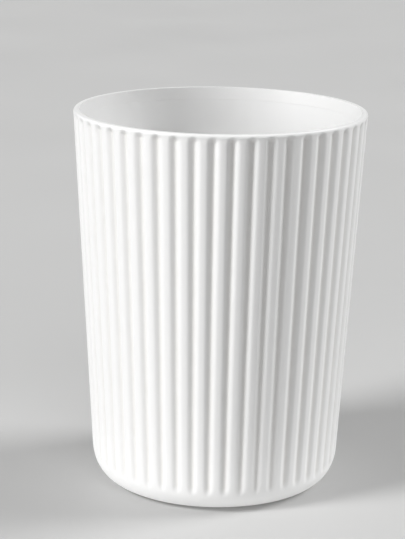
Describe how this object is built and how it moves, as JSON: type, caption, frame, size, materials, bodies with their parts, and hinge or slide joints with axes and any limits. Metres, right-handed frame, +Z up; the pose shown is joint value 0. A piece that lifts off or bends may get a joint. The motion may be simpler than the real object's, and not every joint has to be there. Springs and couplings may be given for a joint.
{
  "type": "wastebasket",
  "caption": "Open round plastic wastebasket with a fluted, slightly tapered wall, a plain foot band and a lift-out ring that holds a bag.",
  "frame": {"origin": "on the ground under the middle of the basket, at the undersides of the foot pads", "axes": "+Z up along the basket's axis, -Y towards the front, +X to the right seen from the front"},
  "size_m": [0.23, 0.23, 0.3],
  "materials": {
    "basket_plastic": "satin moulded white polypropylene",
    "ring_plastic": "satin moulded white polypropylene",
    "pad_rubber": "soft matt grey rubber"
  },
  "bodies": {
    "basket": {"basket_body": "basket_plastic", "foot_pad_1": "pad_rubber", "foot_pad_2": "pad_rubber", "foot_pad_3": "pad_rubber", "foot_pad_4": "pad_rubber"},
    "ring": {"bag_ring": "ring_plastic"}
  },
  "joints": [
    {"name": "ring_lift", "type": "slide", "parent": "basket", "child": "ring", "axis": [0, 0, 1], "range_m": [0, 0.06]}
  ]
}
